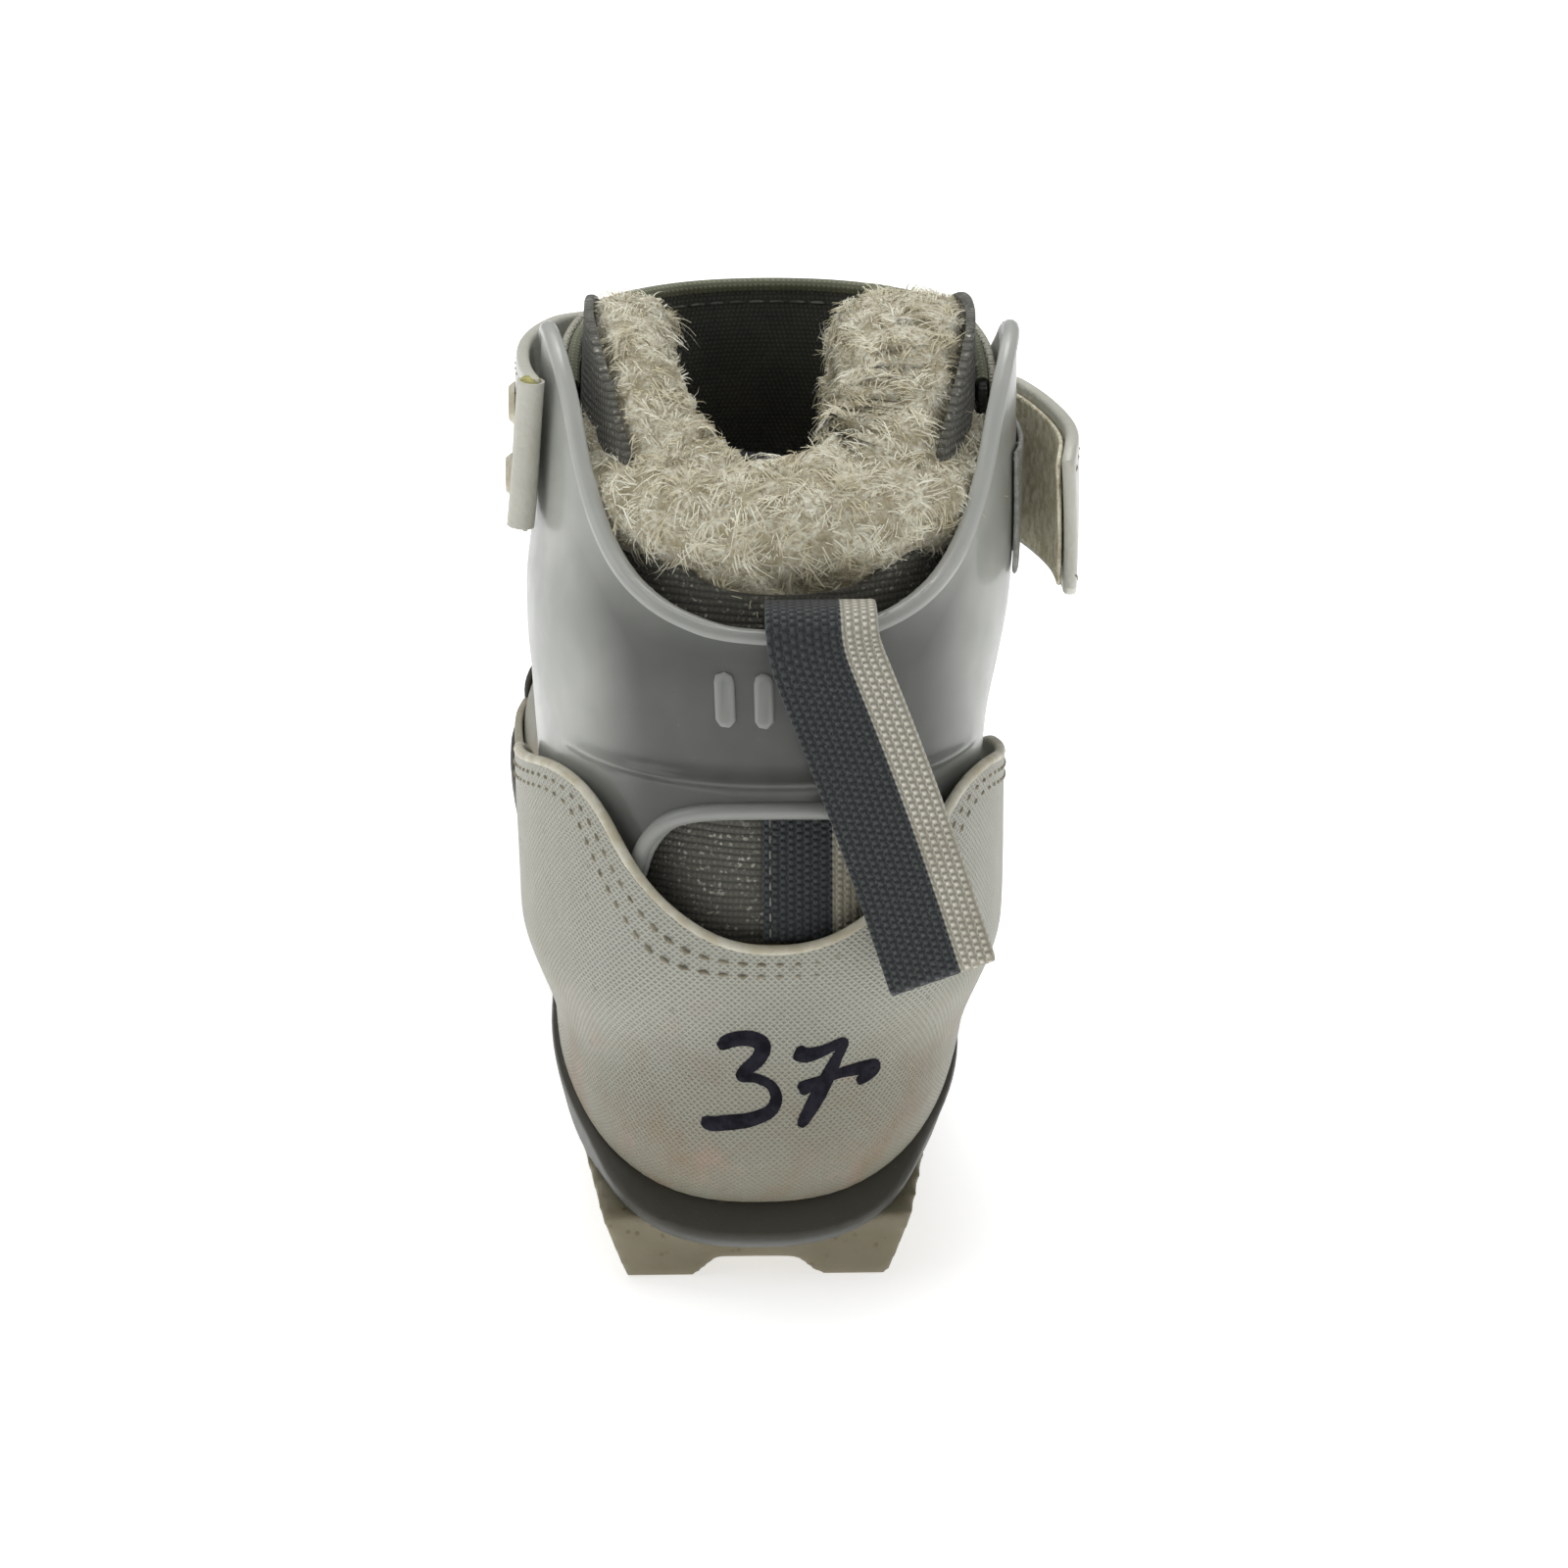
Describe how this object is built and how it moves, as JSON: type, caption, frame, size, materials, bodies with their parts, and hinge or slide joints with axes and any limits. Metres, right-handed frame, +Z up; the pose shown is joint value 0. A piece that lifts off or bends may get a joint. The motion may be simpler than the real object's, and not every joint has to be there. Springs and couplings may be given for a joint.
{
  "type": "cross country ski boot",
  "caption": "Right cross-country ski boot: grooved rubber sole with a toe bar, fleece-lined upper with a zipped instep cover, and a hinged plastic ankle cuff with a strap and a heel pull loop",
  "frame": {"origin": "middle of the boot's bounding box at the ground the tread stands on", "axes": "+Z up, +Y from the heel to the toe, +X to the wearer's right, which is the outer side of the foot"},
  "size_m": [0.0984, 0.274, 0.1535],
  "materials": {
    "outsole_rubber": "moulded, worn",
    "steel": "drawn rod and pressed rivets",
    "band_rubber": "satin moulded",
    "board_plastic": "pressed",
    "insole_felt": "felt on foam",
    "leatherette": "woven-grain coated fabric, off-white",
    "dark_lining": "smooth coated lining",
    "fleece": "pile, worn",
    "shimmer_knit": "knit with light flecks",
    "cuff_plastic": "milky, flexible",
    "strap_leatherette": "smooth, folded edges",
    "touch_tape": "hook and loop",
    "webbing": "woven tape, dark blue-grey with an off-white stripe",
    "pull_plastic": "moulded"
  },
  "bodies": {
    "foot": {"outsole": "outsole_rubber", "binding_bar": "steel", "midsole_band": "band_rubber", "shank": "board_plastic", "lasting_board": "board_plastic", "toe_puff": "board_plastic", "heel_stiffener": "board_plastic", "insole": "insole_felt", "vamp": "leatherette", "quarter_inner": "leatherette", "quarter_outer": "leatherette", "heel_counter": "leatherette", "cover_inner": "leatherette", "cover_outer": "leatherette", "toe_cap": "band_rubber", "eyestay_inner": "dark_lining", "eyestay_outer": "dark_lining", "zip_tape": "dark_lining", "foot_lining": "fleece", "tongue": "shimmer_knit", "pivot_rivet_inner": "steel", "pivot_rivet_outer": "steel"},
    "cuff_frame": {"cuff": "cuff_plastic", "collar": "shimmer_knit", "collar_lining": "fleece", "fleece_roll": "fleece", "shield_lining": "dark_lining", "front_shield": "leatherette", "strap": "strap_leatherette", "anchor_rivet_upper": "steel", "anchor_rivet_lower": "steel", "hook_patch": "touch_tape", "heel_tape": "webbing"},
    "strap_end": {"strap_tail": "strap_leatherette", "loop_patch": "touch_tape"},
    "loop": {"pull_loop": "webbing"},
    "slider": {"zip_slider": "steel"},
    "pull": {"zip_pull": "pull_plastic"}
  },
  "joints": [
    {"name": "cuff_flex", "type": "hinge", "parent": "foot", "child": "cuff_frame", "pos_m": [-0.00384, -0.07905, 0.064], "axis": [-1, 0, 0], "range_deg": [0, 12], "stiffness_Nm_per_rad": 2},
    {"name": "strap_peel", "type": "hinge", "parent": "cuff_frame", "child": "strap_end", "pos_m": [0.04348, -0.05905, 0.1275], "axis": [0, 0, 1], "range_deg": [-9, 100]},
    {"name": "loop_flip", "type": "hinge", "parent": "cuff_frame", "child": "loop", "pos_m": [0.00616, -0.11885, 0.1174], "axis": [-0.9397, 0, -0.342], "range_deg": [0, 90]},
    {"name": "zip_slide", "type": "slide", "parent": "foot", "child": "slider", "axis": [0, 0.9255, -0.3787], "range_m": [0, 0.05]},
    {"name": "pull_flip", "type": "hinge", "parent": "slider", "child": "pull", "pos_m": [-0.00273, 0.00634, 0.08658], "axis": [1, 0, 0], "range_deg": [0, 150]}
  ]
}
